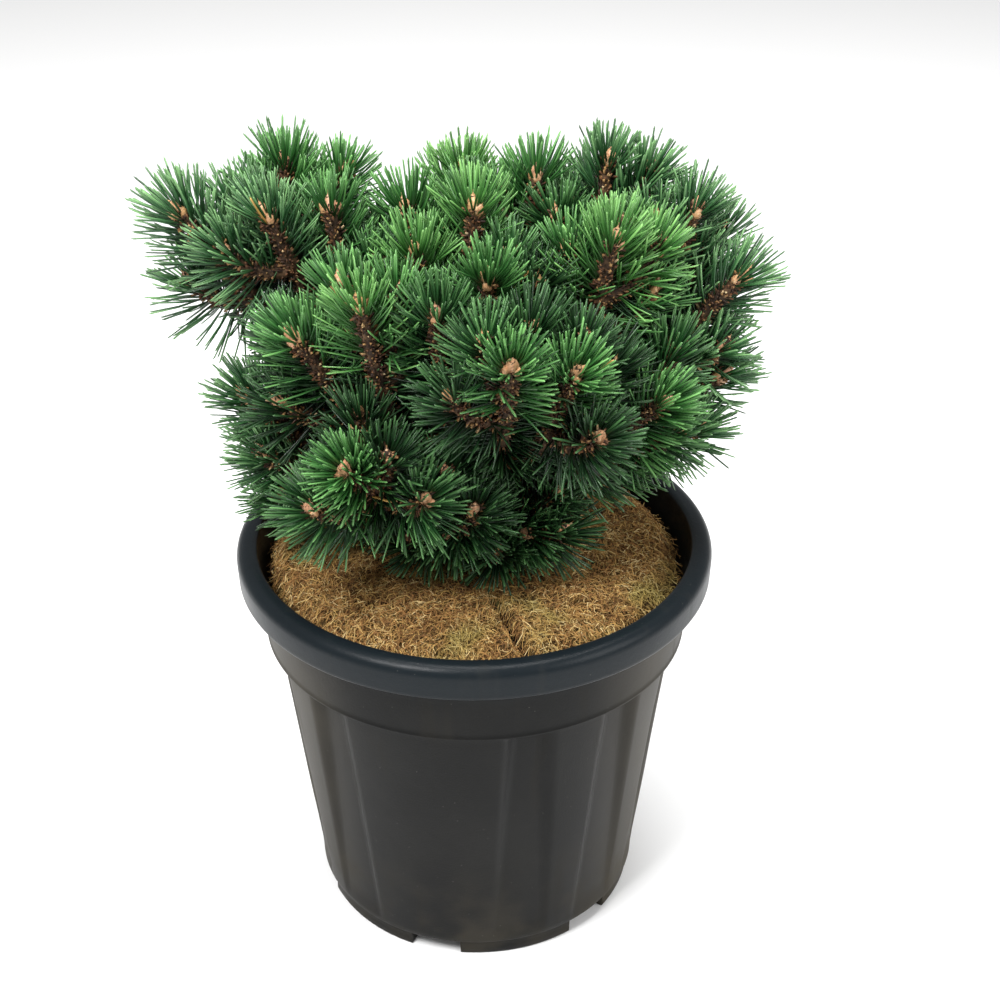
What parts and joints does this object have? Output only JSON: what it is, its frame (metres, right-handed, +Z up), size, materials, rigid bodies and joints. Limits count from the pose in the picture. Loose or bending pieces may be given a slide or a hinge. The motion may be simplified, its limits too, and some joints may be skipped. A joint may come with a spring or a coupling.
{
  "type": "mugo pine in a pot",
  "caption": "Dwarf mountain pine with a dense rounded crown of needled shoots, grown in a round fluted plastic nursery pot filled with a fibrous root ball.",
  "frame": {"origin": "middle of the pot's flat underside, on the ground", "axes": "+Z up along the pot's axis; -Y towards the plant's show side, +X to the right seen from there"},
  "size_m": [0.4085, 0.3174, 0.5531],
  "materials": {
    "plastic": "dark charcoal moulded plastic, slightly scuffed",
    "coir": "dry fibrous coir and moss over potting soil",
    "bark": "rough brown-grey bark",
    "needles": "mid green to dark green waxy needles on brown scaly shoots with tan buds"
  },
  "bodies": {
    "root": {"bough_front_centre": "bark", "bough_front_left": "bark", "bough_front_left_low": "bark", "bough_front_left_outer": "bark", "bough_front_middle": "bark", "bough_front_right": "bark", "bough_left_foot": "bark", "bough_left_low": "bark", "bough_rear": "bark", "bough_rear_left": "bark", "bough_rear_low": "bark", "bough_rear_right": "bark", "bough_rear_right_low": "bark", "bough_right_centre": "bark", "bough_right_foot": "bark", "bough_right_front_low": "bark", "bough_right_low": "bark", "bough_right_outer": "bark", "bough_top_left_outer": "bark", "bough_top_right": "bark", "bough_upper_left": "bark", "bough_upper_left_inner": "bark", "bough_upper_left_outer": "bark", "bough_upper_left_rear": "bark", "bough_upper_right": "bark", "foliage_front_centre": "needles", "foliage_front_foot": "needles", "foliage_front_foot_right": "needles", "foliage_front_left": "needles", "foliage_front_left_low": "needles", "foliage_front_left_outer": "needles", "foliage_front_middle": "needles", "foliage_front_right": "needles", "foliage_left_foot": "needles", "foliage_left_low": "needles", "foliage_rear": "needles", "foliage_rear_left": "needles", "foliage_rear_low": "needles", "foliage_rear_right": "needles", "foliage_rear_right_low": "needles", "foliage_right_centre": "needles", "foliage_right_foot": "needles", "foliage_right_front_low": "needles", "foliage_right_low": "needles", "foliage_right_outer": "needles", "foliage_top_centre": "needles", "foliage_top_front": "needles", "foliage_top_left": "needles", "foliage_top_left_outer": "needles", "foliage_top_rear": "needles", "foliage_top_right": "needles", "foliage_upper_left": "needles", "foliage_upper_left_inner": "needles", "foliage_upper_left_outer": "needles", "foliage_upper_left_rear": "needles", "foliage_upper_right": "needles", "pot": "plastic", "root_ball": "coir", "trunk": "bark"}
  },
  "joints": []
}
